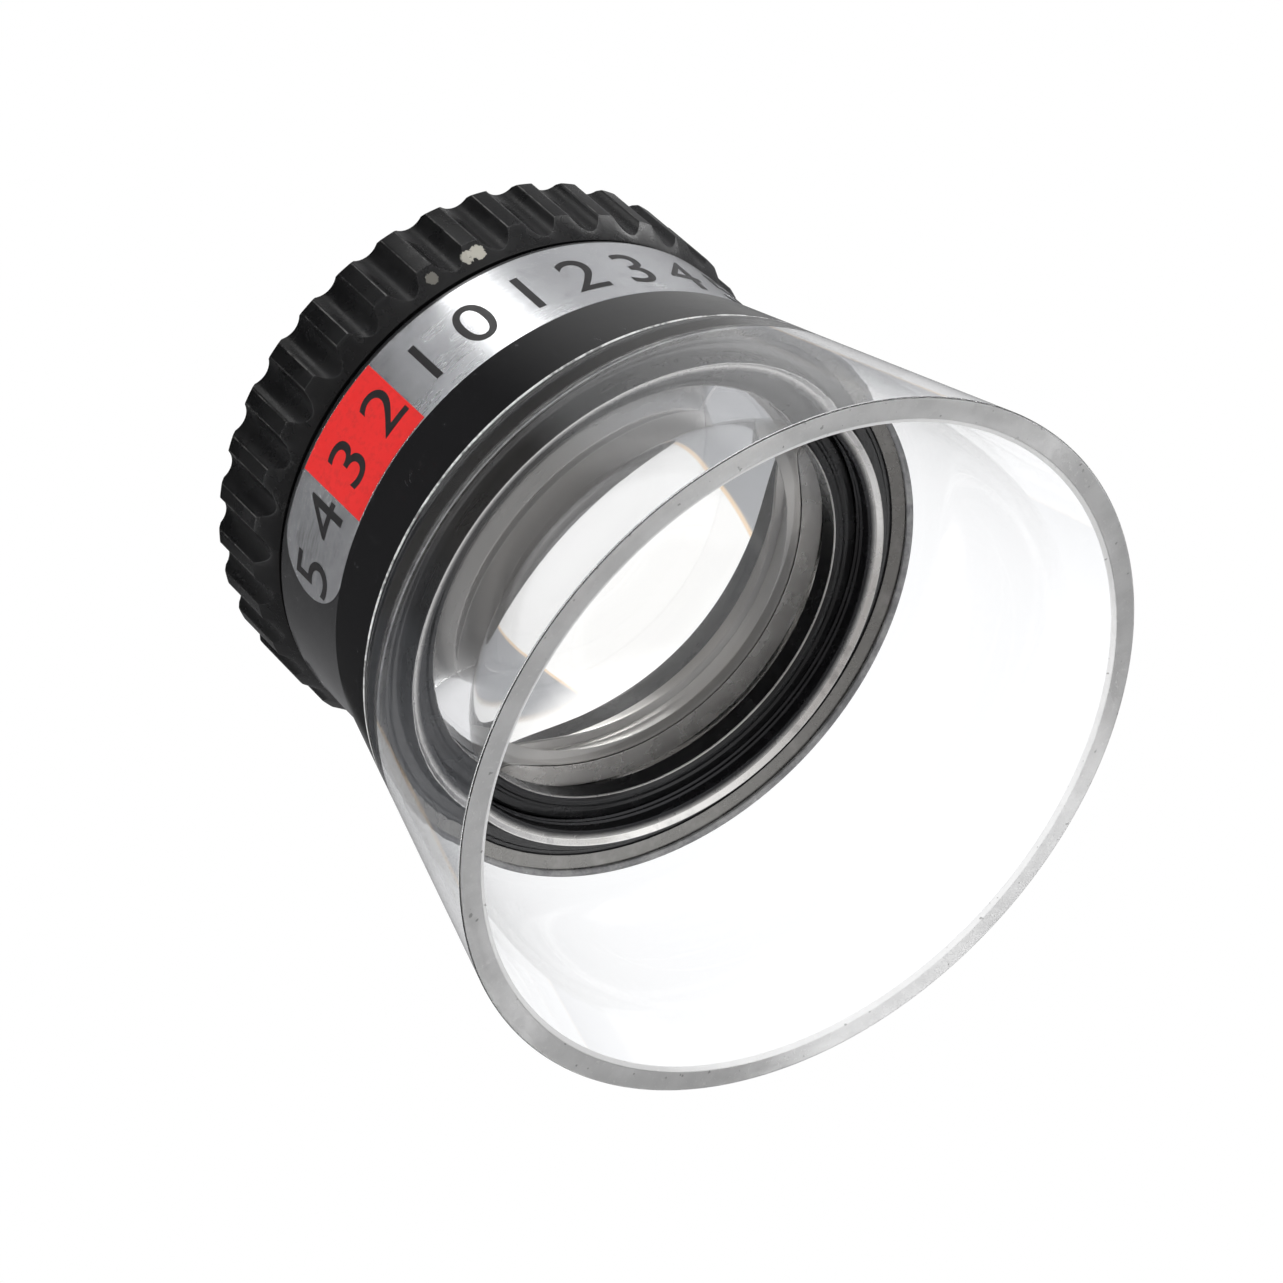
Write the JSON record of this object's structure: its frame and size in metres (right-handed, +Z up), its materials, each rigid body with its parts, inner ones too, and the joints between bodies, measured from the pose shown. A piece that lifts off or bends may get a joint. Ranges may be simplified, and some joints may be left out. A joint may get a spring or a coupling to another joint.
{
  "type": "viewing loupe",
  "caption": "Stand loupe: a black lens barrel with a fluted focus ring and a foil band, standing on a clear conical skirt.",
  "frame": {"origin": "centre of the skirt's rim, on the plane that the loupe stands on", "axes": "+Z up the optical axis towards the eye, -Y at the middle of the foil band"},
  "size_m": [0.044, 0.044, 0.036],
  "materials": {
    "skirt_acrylic": "clear polished acrylic, rim face lightly frosted",
    "barrel_plastic": "black glossy moulded plastic",
    "ring_plastic": "black satin moulded plastic, scuffed rib ends",
    "label_foil": "silver foil, printed",
    "cell_aluminium": "black anodised",
    "retainer_black": "black anodised, turned",
    "spacer_metal": "plain turned, dull",
    "baffle_black": "matt black paint",
    "lens_glass": "polished optical glass",
    "spring_steel": "drawn wire",
    "screw_steel": "blackened",
    "o_ring_rubber": "matt",
    "washer_ptfe": "waxy white"
  },
  "bodies": {
    "body": {"clear_skirt": "skirt_acrylic", "barrel": "barrel_plastic", "label_band": "label_foil", "snap_wire": "spring_steel", "bore_o_ring": "o_ring_rubber", "thrust_washer": "washer_ptfe", "guide_screw_left": "screw_steel", "guide_screw_right": "screw_steel"},
    "focus_ring": {"focus_ring": "ring_plastic"},
    "lens_cell": {"lens_cell": "cell_aluminium", "field_lens": "lens_glass", "eye_lens": "lens_glass", "lens_spacer": "spacer_metal", "aperture_stop": "baffle_black", "field_retaining_ring": "retainer_black", "eye_retaining_ring": "retainer_black"}
  },
  "joints": [
    {"name": "focus_turn", "type": "hinge", "parent": "body", "child": "focus_ring", "pos_m": [0, 0, 0.0301], "axis": [0, 0, 1], "range_deg": [-90, 150]},
    {"name": "cell_travel", "type": "slide", "parent": "body", "child": "lens_cell", "axis": [0, 0, 1], "range_m": [-0.00075, 0.00125]}
  ],
  "couplings": [
    {"joint": "focus_turn", "follows": "cell_travel", "rad_per_m": 2094.4}
  ]
}
